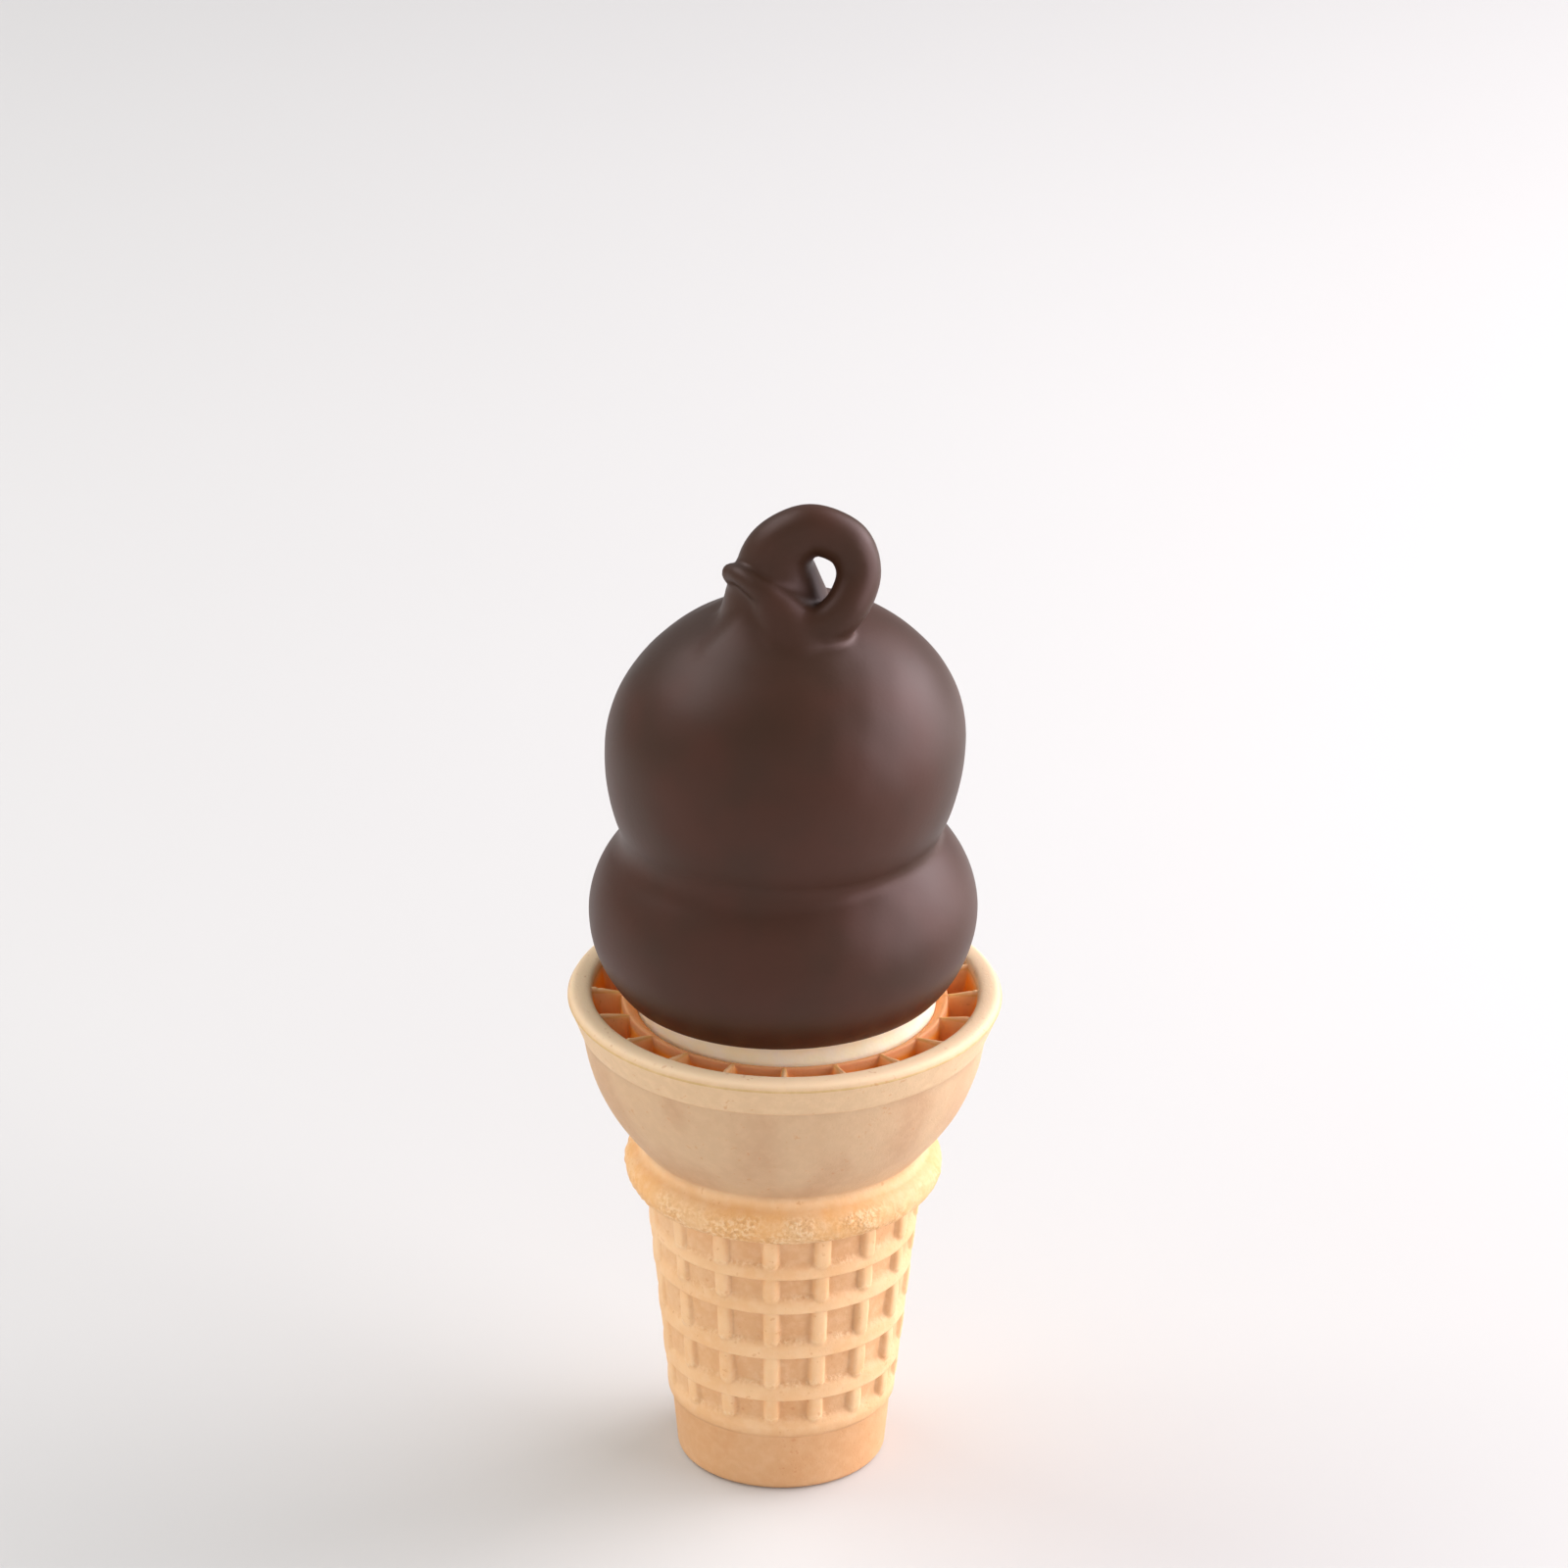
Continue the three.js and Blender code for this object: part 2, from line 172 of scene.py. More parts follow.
def rib_columns(radius):
    """Angles of all columns on rings of these radii, in the moat: the first five of each half rib
    stand at fixed distances from its middle, and the others share the pocket evenly."""
    half = columns_per_rib // 2
    near = np.degrees(np.arcsin(np.array(RIB_COLUMN_OFFSETS) / np.maximum(radius, 5)[:, None]))
    edge = near[:, -1:]
    step = np.arange(1, half - 3) / (half - 4)
    offsets = np.concatenate([near, edge + (rib_step / 2 - edge) * step], axis=1)
    number = (column - FIRST_RIB_COLUMN) % columns_per_rib
    side = np.where(number <= half, number, columns_per_rib - number)
    turn = np.where(number <= half, offsets[:, side], rib_step - offsets[:, side])
    return rib_step * ((column - FIRST_RIB_COLUMN) // columns_per_rib) + turn


print("columns:", COLUMNS, "from", round(float(bar_columns[0]), 2), "degrees")

# %% [markdown]
# ## The cup's outline
# One outline runs from the middle of the foot, up the outside, over the rim, down into the moat, up
# and over the thin ring, and down the inside wall to the floor. Each part of it gets as many rows
# as its curve needs. The grid of bars is only a change of radius on its rows, so it comes later.

# %% Outline of the cup, part by part
FOOT_RADIUS, FOOT_EDGE = 16.15, 1.1
FOOT_TOP_RADIUS, FOOT_TOP = 16.9, 9.7
GRID_BOTTOM_RADIUS, GRID_BOTTOM = 17.6, 10.8
GRID_TOP_RADIUS, GRID_TOP = 21.3, 46.2
CELL_ROWS = [(13.1, 16.8), (19.5, 24.6), (27.3, 32.9), (35.3, 39.1), (41.2, 45.9)]
BEAD_RADIUS, BEAD_HEIGHT, BEAD_ROUND = 21.15, 49.45, 3.15
WAIST_RADIUS, WAIST_HEIGHT = 21.55, 53.4
BOWL_TOP_RADIUS, BOWL_TOP = 30.85, 72.9
BAND_RADIUS, BAND_BOTTOM = 31.2, 73.2
RIM_RADIUS, CUP_HEIGHT = 33.0, 79.0
MOULD_LINE = 77.8
RIM_INNER_RADIUS = 29.3
MOAT_FLOOR = 69.0
RING_OUTER_RADIUS, RING_INNER_RADIUS, RING_TOP, RING_INNER_TOP = 24.8, 22.5, 77.7, 76.4
CUP_FLOOR = 2.5


def line(start, end, rows):
    """Evenly spaced outline points from start up to, but without, end."""
    share = np.arange(rows)[:, None] / rows
    return np.array(start) + (np.array(end) - np.array(start)) * share


def arc(radius, height, rounding, from_degrees, to_degrees, rows):
    """Outline points on a circle: centre plus rounding times (cos t, sin t)."""
    t = np.radians(np.linspace(from_degrees, to_degrees, rows))
    return np.stack([radius + rounding * np.cos(t), height + rounding * np.sin(t)], axis=1)


def bend(corners, rows):
    """A smooth line through the middle of a corner polygon: a Bezier curve, which weighs its four
    points by (1-t)^3, 3t(1-t)^2, 3t^2(1-t) and t^3."""
    t = np.linspace(0, 1, rows)[:, None]
    p = np.array(corners, float)
    return (1 - t) ** 3 * p[0] + 3 * t * (1 - t) ** 2 * p[1] + 3 * t * t * (1 - t) * p[2] + t ** 3 * p[3]


def wall_radius(height):
    """Radius of the lower wall's outline: a straight line from its bottom to its top."""
    return np.interp(height, [GRID_BOTTOM, GRID_TOP], [GRID_BOTTOM_RADIUS, GRID_TOP_RADIUS])


ROWS_AT_BOTTOM = [-1.3, -0.95, -0.65, -0.35, -0.1, 0.15, 0.4, 0.7, 1.1]   # mm from a cell's bottom
ROWS_AT_TOP = [-0.22, -0.1, 0.02, 0.14, 0.3, 0.55]                        # mm from its top


def grid_heights():
    """Heights of the rows over the bars: close together at the ledge over each cell, at its sloping
    bottom and at the round tips of the bars, and wider apart in between."""
    heights = [11.1, 11.4]
    for bottom, top in CELL_ROWS:
        heights += [bottom + step for step in ROWS_AT_BOTTOM]
        heights += list(np.linspace(bottom + 1.1, top - 0.4, 5)[1:])
        heights += [top + step for step in ROWS_AT_TOP]
    return np.array(heights[:-2])


foot = np.concatenate([
    [[0, 0], [5, 0], [9.5, 0], [12.8, 0]],
    arc(FOOT_RADIUS - FOOT_EDGE, FOOT_EDGE, FOOT_EDGE, -90, 0, 8),
    line((FOOT_RADIUS + 0.06, 1.8), (FOOT_TOP_RADIUS, FOOT_TOP - 0.1), 8),
    bend([(FOOT_TOP_RADIUS, FOOT_TOP - 0.1), (FOOT_TOP_RADIUS, FOOT_TOP + 0.35),
          (GRID_BOTTOM_RADIUS, GRID_BOTTOM - 0.75), (GRID_BOTTOM_RADIUS, GRID_BOTTOM)], 7),
])
levels = grid_heights()
bars = np.stack([wall_radius(levels), levels], axis=1)
bead = np.concatenate([
    [[GRID_TOP_RADIUS + 0.1, GRID_TOP + 0.06], [GRID_TOP_RADIUS + 0.35, GRID_TOP + 0.12]],
    arc(BEAD_RADIUS, BEAD_HEIGHT, BEAD_ROUND, -70, 66, 19),
])
bowl = bend([(WAIST_RADIUS, WAIST_HEIGHT), (WAIST_RADIUS + 2.35, WAIST_HEIGHT + 3.3),
             (BOWL_TOP_RADIUS - 1.4, BOWL_TOP - 11.7), (BOWL_TOP_RADIUS, BOWL_TOP)], 25)[1:]
band = np.concatenate([
    [[BOWL_TOP_RADIUS + 0.1, BOWL_TOP + 0.12], [BAND_RADIUS - 0.05, BAND_BOTTOM]],
    line((BAND_RADIUS + 0.08, BAND_BOTTOM + 0.2), (RIM_RADIUS - 0.1, MOULD_LINE - 0.2), 5),
    [[RIM_RADIUS - 0.1, MOULD_LINE - 0.2], [RIM_RADIUS, MOULD_LINE - 0.05],
     [RIM_RADIUS, MOULD_LINE + 0.05], [RIM_RADIUS - 0.12, MOULD_LINE + 0.2]],
    bend([(RIM_RADIUS - 0.18, MOULD_LINE + 0.35), (RIM_RADIUS - 0.45, CUP_HEIGHT - 0.1),
          (RIM_RADIUS - 1.2, CUP_HEIGHT), (RIM_RADIUS - 2.0, CUP_HEIGHT)], 7),
    bend([(RIM_RADIUS - 2.4, CUP_HEIGHT), (RIM_INNER_RADIUS + 0.4, CUP_HEIGHT - 0.05),
          (RIM_INNER_RADIUS + 0.05, CUP_HEIGHT - 0.3), (RIM_INNER_RADIUS, CUP_HEIGHT - 1.0)], 7),
])
moat = np.concatenate([
    line((RIM_INNER_RADIUS - 0.06, CUP_HEIGHT - 1.5), (28.0, MOAT_FLOOR + 1.0), 9),
    bend([(28.0, MOAT_FLOOR + 1.0), (27.95, MOAT_FLOOR + 0.2), (27.8, MOAT_FLOOR), (27.0, MOAT_FLOOR)], 4),
    bend([(26.2, MOAT_FLOOR), (25.3, MOAT_FLOOR), (25.15, MOAT_FLOOR + 0.2), (25.12, MOAT_FLOOR + 1)], 4),
    line((25.1, MOAT_FLOOR + 1.8), (RING_OUTER_RADIUS, RING_TOP - 0.5), 5),
])
ring = np.concatenate([
    bend([(RING_OUTER_RADIUS, RING_TOP - 0.5), (RING_OUTER_RADIUS - 0.02, RING_TOP - 0.05),
          (RING_OUTER_RADIUS - 0.25, RING_TOP), (RING_OUTER_RADIUS - 0.6, RING_TOP - 0.08)], 6),
    line((RING_OUTER_RADIUS - 0.8, RING_TOP - 0.2), (RING_INNER_RADIUS, RING_INNER_TOP), 5),
    [[RING_INNER_RADIUS - 0.03, RING_INNER_TOP - 0.2]],
])
inside = np.array([[22.1, 68.0], [20.2, 59.5], [18.6, 53.4], [18.2, GRID_TOP], [16.2, 24.0],
                   [14.3, CUP_FLOOR + 0.3], [14.0, CUP_FLOOR], [8, CUP_FLOOR], [0, CUP_FLOOR]])
parts = {"foot": foot, "bars": bars, "bead": bead, "bowl": bowl, "band": band, "moat": moat,
         "ring": ring, "inside": inside}
outline = np.concatenate(list(parts.values()))
part_of_row = np.concatenate([[name] * len(rows) for name, rows in parts.items()])
print("rows:", {name: len(rows) for name, rows in parts.items()}, "in all", len(outline))

# %% [markdown]
# ## Bars and ledges of the lower wall
# The mould leaves sunk cells between upright bars and flat ledges. Between two bars the wall works
# like roof shingles: it swells outwards down each ledge, breaks off sharply over the next cell, and
# slopes out again at the cell's bottom. Each bar is a row of rounded fingers, one to a cell, tucked
# under the ledge above and ending in a round tip on the slope below. The two halves of the mould
# part at the sides, so the relief grows shallow there. A bump texture could fake all this, but it
# would look flat from close by and from the side, so the steps are real changes of radius.

# %% Relief of the lower wall
CELL_DEPTH = 1.05
FINGER_HALF_WIDTH = 1.36
FINGER_HEIGHT = 1.3
FINGER_BACK = 0.08                  # mm that a finger's back stands proud of the outline
NO_FINGER = -CELL_DEPTH - 1.0       # well below the cells, so that it never shows
RELIEF_ANGLES = [-180, -140, -96, -80, -55, -25, 5, 62, 80, 94, 140, 180]   # degrees from the front
RELIEF_SHARES = [1, 1, 0.3, 0.25, 0.55, 0.85, 1, 1, 0.7, 0.35, 1, 1]        # of the full relief
RIB_START, RIB_END = 24.2, 29.6     # radii of the moat's ribs
RIB_TOP = ([24.6, 28.8], [77.72, 78.45])                        # radius, height of a rib's top
RIB_FLANK = (RIB_COLUMN_OFFSETS + [0.84], [0, 0.03, 0.14, 0.6, 9.6, 40])    # mm aside, mm down


def wall_depth(height):
    """How far the wall between two bars lies inside the cup's outline, in mm, read from straight
    lines between marks at the ledge, the cell and its sloping bottom."""
    marks = [(GRID_BOTTOM, 0.0), (11.8, 0.02)]
    for bottom, top in CELL_ROWS:
        marks += [(bottom - 0.85, 0.18), (bottom - 0.3, 0.36), (bottom + 0.45, 0.92),
                  (bottom + 1.0, CELL_DEPTH), (top - 0.3, CELL_DEPTH), (top - 0.1, 0.9),
                  (top + 0.03, 0.15), (top + 0.16, 0.02), (top + 0.5, 0.03)]
    heights, depths = zip(*marks[:-2], (GRID_TOP, 0.0))
    return np.interp(height, heights, depths)


def finger_rise(across, height):
    """Outward rise of the fingers, in mm: a round back over the distance from the middle line, with
    the tip rounded by measuring the distance to the end of that line, and nothing outside it."""
    rise = np.full(np.broadcast(across, height).shape, NO_FINGER)
    for bottom, top in CELL_ROWS:
        tip = bottom - 0.9 + FINGER_HALF_WIDTH
        beyond = np.maximum(tip - height, 0) + 6 * np.maximum(height - top, 0)
        away = np.hypot(across, beyond) / FINGER_HALF_WIDTH
        back = FINGER_BACK - 0.2 * smooth_share(height, top - 1.6, top)
        finger = back - FINGER_HEIGHT * (1 - np.clip(1 - away ** 3.4, 0, None) ** (1 / 2))
        rise = np.maximum(rise, np.where(height < top + 0.1, finger, NO_FINGER))
    return rise


def cup_grid():
    """Radius, angle and height of every point of the cup: the relief is added to the radius of the
    lower wall, and each rib of the moat lifts the outline to its own top and steep flanks."""
    radius, height = outline[:, :1] + np.zeros(COLUMNS), outline[:, 1:] + np.zeros(COLUMNS)
    above_bowl = np.cumsum(part_of_row == "band") > 0
    slide = smooth_share(np.where(above_bowl, BOWL_TOP, outline[:, 1]), GRID_TOP, BOWL_TOP)[:, None]
    angle = (1 - slide) * bar_columns + slide * rib_columns(np.maximum(outline[:, 0], 14.0))
    place = round_points(radius, angle, height)

    on_bars = part_of_row == "bars"
    from_bar = (angle - FRONT_BAR_ANGLE + bar_step / 2) % bar_step - bar_step / 2
    across = np.radians(from_bar) * radius * (1 + 0.05 * lumps(place, 14, seed=3))
    depth = wall_depth(height) * (1 + 0.08 * lumps(place, 9, seed=4))
    relief = soft_max(-depth, finger_rise(across, height), 0.1)
    share = np.interp(angle, RELIEF_ANGLES, RELIEF_SHARES, period=360)
    radius[on_bars] += (relief * share)[on_bars]

    past_rim = (np.cumsum(part_of_row == "moat") > 0) | (outline[:, 0] < RIB_END)
    in_moat = np.isin(part_of_row, ["band", "moat", "ring"]) & past_rim
    from_rib = (angle + rib_step / 2) % rib_step - rib_step / 2
    aside = np.abs(np.radians(from_rib)) * radius
    rib_top = np.interp(radius, *RIB_TOP) + 0.08 * lumps(place, 6, seed=5)
    rib = np.where(radius > RIB_START, rib_top - np.interp(aside, *RIB_FLANK), 0)
    height[in_moat] = np.maximum(height, rib)[in_moat]
    return radius, angle, height


cup_radius, cup_angle, cup_height = cup_grid()
print("deepest cell radius:", round(float(cup_radius[part_of_row == "bars"].min()), 2), "mm")

# %% [markdown]
# ## Baked unevenness
# Wafer is never quite true: the walls wander by a tenth of a millimetre, and the lower front of the
# bead is coarse, because batter bubbles burst there against the mould. Both are added as small
# moves of the points, so they also show in the outline. Finer pores are left to the material.

# %% Build the wafer cup


def wafer_points():
    """The cup's points, moved outwards by broad lumps everywhere and by coarse grains on the bead,
    and how coarse each place is: the bead's lower front, and a little at the foot of each cell."""
    points = round_points(cup_radius, cup_angle, cup_height)
    wander = 0.05 * lumps(points, 16, seed=11) + 0.025 * lumps(points, 5, seed=12)
    z = cup_height
    outer = np.isin(part_of_row, ["bars", "bead", "bowl", "band"])[:, None]
    grainy = smooth_share(z, 45.6, 46.6) * (1 - smooth_share(z, 50.2, 52.4)) * outer
    patchy = smooth_share(lumps(points, 6, seed=14), -0.6, 0.5)
    grains = 0.17 * grainy * (0.3 + 0.7 * patchy) * lumps(points, 1.7, seed=13, waves=60)
    kept = smooth_share(z, 0.0, 1.2) * (1 - smooth_share(z, 77.0, 78.4))
    moved = cup_radius + (wander * kept + grains) * (cup_radius > 10)
    moved = np.minimum(moved, RIM_RADIUS)
    front = np.interp(cup_angle, [-180, -60, -42, 28, 48, 180],
                      [0.35, 0.35, 1, 1, 0.35, 0.35], period=360)
    coarse = smooth_share(z, 45.6, 46.4) * (1 - smooth_share(z, 50.6, 52.4))
    for bottom, top in CELL_ROWS:
        coarse = np.maximum(coarse, 0.7 * np.exp(-((z - bottom - 0.25) / 0.5) ** 2))
    return round_points(moved, cup_angle, z), coarse * outer * front * (0.25 + 0.75 * patchy)


wafer_grid, wafer_coarse = wafer_points()
wafer_cup = ring_piece("wafer_cup", wafer_grid)
report_piece(wafer_cup)

# %% [markdown]
# ## Colour and painted shade that follow the shape
# The cup isn't one colour: the pockets of the moat are orange and the bead is golden. Deeper in
# the moat the orange is painted stronger, as painted bounce light, and the ring's inner slope takes
# that orange as painted shade. The sunk cells are painted browner than the bars and ledges round
# them, as painted shade that grows with their depth. That follows the shape, so it is worked out
# from the same grid and stored with the points, where the material can read it.

# %% Store the bake and the painted shade on the cup


def store_values(piece, name, grid):
    """One number for each point of a ring grid, kept in the mesh under this name."""
    values = np.concatenate([grid[:1, 0], grid[1:-1].ravel(), grid[-1:, 0]]).astype(np.float32)
    layer = piece.data.attributes.new(name, "FLOAT", "POINT")
    layer.data.foreach_set("value", values)


# The moat's own orange, painted stronger further down as painted bounce light.
moat_orange_and_bounce = (part_of_row == "moat")[:, None] * (0.3 + 0.7 * smooth_share(78.0 - cup_height, 0.0, 1.6))
on_ring = (part_of_row == "ring")[:, None]
# Painted shade: the ring's inner slope takes the moat's orange.
ring_slope_painted_shade = on_ring * smooth_share(RING_OUTER_RADIUS - 0.5 - cup_radius, 0.0, 0.8)
# Painted shade: the sunk cells are coloured browner the deeper they lie.
painted_cell_shade = (part_of_row == "bars")[:, None] * np.clip(wall_radius(cup_height) - cup_radius, 0, 1)
store_values(wafer_cup, "pocket", np.clip(moat_orange_and_bounce + 0.6 * ring_slope_painted_shade, 0, 1))
store_values(wafer_cup, "painted_cell_shade", painted_cell_shade)
store_values(wafer_cup, "coarse", wafer_coarse)
store_values(wafer_cup, "thin ring", on_ring * (cup_radius < RING_OUTER_RADIUS + 0.1))
print("pocket, sunk, coarse and thin ring stored on", wafer_cup.name)

# %% [markdown]
# ## The two lobes of soft serve
# The soft serve leaves the nozzle as two fat rings, which sag into round lobes. Each lobe is an
# ellipsoid with its own height above and below its widest ring, and the upper one leans a little to
# the right. Chocolate rounds off the crease between them. A smooth sum of distances describes that
# well: the distance to each form is a formula, and a soft minimum of two distances melts two forms
# into one with a fillet, which joined meshes can't give.

# %% Distances to the lobes, the neck and the strand of the curl
COAT_EDGE = 80.5
EDGE_TILT = 0.016
LOBES = [
    {"height": 92.4, "radius": 29.4, "below": 21.5, "above": 20.9, "shift": -0.30, "lean": 0.03},
    {"height": 119.7, "radius": 27.05, "below": 30.0, "above": 22.9, "shift": -0.24, "lean": 0.053},
]
UPPER = LOBES[1]
CREASE_HEIGHT = 105.0
NECK_AXIS = np.array([-1.7, -0.9])
NECK_OUTLINE = np.array([[9.4, 138.6], [8.6, 141.0], [8.05, 142.8],      # radius, height
                         [7.4, 145.0], [6.0, 148.4], [4.6, 151.6]])
NECK_SLOPE = ([139, 143, 147, 152], [0.75, 0.9, 0.95, 0.95])    # height, cosine of the slope
NECK_BASE, NECK_TOP = 132, 152.4
STRAND = np.array([      # x, y, z and radius of the strand, from inside the neck to the thin tail
    [-2.6, -0.9, 142.6, 5.4], [-2.8, -1.3, 148.6, 5.0], [-0.9, -1.7, 152.6, 4.6],
    [3.5, -2.0, 155.3, 3.9], [8.6, -2.6, 153.5, 3.65], [10.35, -4.0, 149.4, 3.35],
    [8.7, -6.5, 145.2, 3.3], [5.2, -7.8, 142.45, 3.25], [1.7, -7.9, 142.9, 3.0],
    [-1.2, -8.0, 145.5, 2.35], [-4.0, -7.3, 147.9, 1.8], [-6.8, -5.0, 149.1, 1.5],
    [-8.45, -2.4, 148.5, 1.4]])
TAIL_MARK = 7                       # the tail starts at this mark of the strand
STRAND_STEPS = 14                   # straight pieces from one mark to the next


def lobe_distance(p, lobe):
    """Distance outside an ellipsoid, close to its skin: k1 (k1 - 1) / k2, where k1 is the length of
    the point divided by the half axes, and k2 the same divided by their squares."""
    up = p[:, 2] - lobe["height"]
    x = p[:, 0] - lobe["shift"] - lobe["lean"] * up
    reach = np.where(up < 0, lobe["below"], lobe["above"])
    flat = x * x + p[:, 1] ** 2
    k1 = np.sqrt(flat / lobe["radius"] ** 2 + (up / reach) ** 2)
    k2 = np.sqrt(flat / lobe["radius"] ** 4 + up ** 2 / reach ** 4)
    return k1 * (k1 - 1) / np.maximum(k2, 1e-6)


def neck_distance(p):
    """Distance outside the flared neck: the radius past its outline, times the cosine of the slope."""
    rho = np.hypot(p[:, 0] - NECK_AXIS[0], p[:, 1] - NECK_AXIS[1])
    radius = np.interp(p[:, 2], NECK_OUTLINE[:, 1], NECK_OUTLINE[:, 0])
    slope = np.interp(p[:, 2], *NECK_SLOPE)
    return soft_max((rho - radius) * slope, p[:, 2] - NECK_TOP + 1.5, 1.5)


def strand_path():
    """Points and radii along the strand: a Catmull-Rom curve, which passes through each mark and
    heads there from the mark before to the mark after."""
    marks = np.vstack([2 * STRAND[0] - STRAND[1], STRAND, 2 * STRAND[-1] - STRAND[-2]])
    t = np.arange(STRAND_STEPS)[:, None] / STRAND_STEPS
    runs = []
    for a, b, c, d in zip(marks, marks[1:], marks[2:], marks[3:]):
        runs.append(0.5 * (2 * b + (c - a) * t + (2 * a - 5 * b + 4 * c - d) * t ** 2
                           + (3 * b - a - 3 * c + d) * t ** 3))
    return np.vstack(runs + [STRAND[-1:]])


PATH = strand_path()
TAIL_START = TAIL_MARK * STRAND_STEPS


def strand_distance(p, path):
    """Distance outside a tapering tube along the path: for each straight piece, the nearest place on
    it at share t, the length to that place less its radius, and the least of them all."""
    start, along = path[:-1, :3], np.diff(path[:, :3], axis=0)
    square = (along ** 2).sum(axis=1)
    reach = p @ along.T - (start * along).sum(axis=1)
    t = np.clip(reach / square, 0, 1)
    away = (p ** 2).sum(axis=1)[:, None] - 2 * p @ start.T + (start ** 2).sum(axis=1)
    away = away - 2 * t * reach + t * t * square
    radius = path[:-1, 3] + t * np.diff(path[:, 3])
    return (np.sqrt(np.maximum(away, 0)) - radius).min(axis=1)


# Widths in mm over which two forms melt together: the least, and what comes on top of it where
CREASE_MELT, CREASE_MELT_LEFT = 1.8, 1.4
FLARE_MELT, FLARE_MELT_FRONT, FLARE_MELT_BACK = 1.2, 4.3, 2.6
CROSSING_MELT, CROSSING_MELT_LEFT = 0.15, 0.9
STRAND_MELT, BEHIND_TAIL_MELT, UNDER_TAIL_MELT, UNDER_LOOP_MELT = 0.25, 1.95, 2.2, 1.3
LIP_ROUNDING = 0.5


def coat_distance(p):
    """Distance outside the whole coat. The lobes melt together, more to the left, and are cut off
    at the coat's lip. The neck flows into the upper lobe, the tail into the loop that it crosses,
    and the strand into what it touches, most of all under the tail, where the chocolate ran."""
    crease = CREASE_MELT + CREASE_MELT_LEFT * smooth_share(-p[:, 0], -18, 10)
    whole = soft_min(lobe_distance(p, LOBES[0]), lobe_distance(p, UPPER), crease)
    whole = soft_max(whole, COAT_EDGE + EDGE_TILT * p[:, 0] - p[:, 2], LIP_ROUNDING)

    high = p[:, 2] > NECK_BASE
    q = p[high]
    x, y, z = q.T
    front = smooth_share(0.8 - y - 0.5 * np.hypot(x + 2, 3.5), -3.0, 6.0)
    flare = FLARE_MELT + FLARE_MELT_FRONT * front + FLARE_MELT_BACK * smooth_share(y, 1.0, 6.0)
    body = soft_min(whole[high], neck_distance(q), flare)

    loop, tail = strand_distance(q, PATH[:TAIL_START + 1]), strand_distance(q, PATH[TAIL_START:])
    curl = soft_min(loop, tail, CROSSING_MELT + CROSSING_MELT_LEFT * smooth_share(-x, -4.0, 0.5))
    behind_tail = smooth_share(-x, -6.5, -1.0) * smooth_share(x, -6.0, -2.0)
    below_tail = 146.0 - 0.58 * (x + 0.6) - z               # the tail sinks to the right
    under_tail = smooth_share(below_tail, -2.0, 4.0) * smooth_share(-x, -5.5, 0.0)
    under_loop = smooth_share(x, 0.0, 5.0) * smooth_share(144.5 - z, 0.0, 3.5)
    melt = (STRAND_MELT + BEHIND_TAIL_MELT * behind_tail + UNDER_TAIL_MELT * under_tail
            + UNDER_LOOP_MELT * under_loop)
    whole[high] = soft_min(body, curl, melt)
    return whole


print("strand:", len(PATH), "marks, top at", round(float((PATH[:, 2] + PATH[:, 3]).max()), 2), "mm")

# %% [markdown]
# ## The coat as one skin
# The lobes, the neck and the strand are first rough closed meshes that run into each other. A voxel
# remesh turns them into one skin of small even faces, and then every point of it is walked onto the
# surface where the distance formula is nought: a step against the slope of the distance, as long as
# the distance itself, a few times over. That leaves soft fillets where the forms meet.

# %% Rough forms for the remesh
REMESH_SIZE = 0.46
TUBE_SIDES = 20


def lobe_radius(height):
    """Radius of the two-lobed outline: the larger lobe's radius there, which is its widest radius
    times the root of 1 - (height from the widest ring / reach)^2."""
    found = np.zeros_like(height)
    for lobe in LOBES:
        up = height - lobe["height"]
        reach = np.where(up < 0, lobe["below"], lobe["above"])
        found = np.maximum(found, lobe["radius"] * np.sqrt(np.maximum(0, 1 - (up / reach) ** 2)))
    return found


def axis_shift(height):
    """Sideways place of the lobes' middle: each lobe's own line, eased into the other at the crease."""
    lines = [lobe["shift"] + lobe["lean"] * (height - lobe["height"]) for lobe in LOBES]
    share = smooth_share(height, CREASE_HEIGHT - 6, CREASE_HEIGHT + 6)
    return lines[0] * (1 - share) + lines[1] * share


def rough_lobes():
    dome = UPPER["height"] + UPPER["above"] * np.sin(np.linspace(0.05, np.pi / 2, 24))
    heights = np.concatenate([np.linspace(COAT_EDGE, UPPER["height"], 48), dome])
    radius = np.concatenate([[0], lobe_radius(heights)])[:, None]
    radius[-1] = 0
    heights = np.concatenate([[COAT_EDGE], heights])[:, None]
    angle = np.linspace(0, 360, 120, endpoint=False)
    return ring_piece("rough_lobes", round_points(radius, angle, heights, axis_shift(heights)))


def rough_neck():
    rows = np.vstack([[0, NECK_BASE], [12.6, NECK_BASE], NECK_OUTLINE,
                      [3.4, NECK_TOP - 1.1], [0, NECK_TOP]])
    points = round_points(rows[:, :1], np.linspace(0, 360, 48, endpoint=False), rows[:, 1:])
    points[..., :2] += NECK_AXIS
    return ring_piece("rough_neck", points)


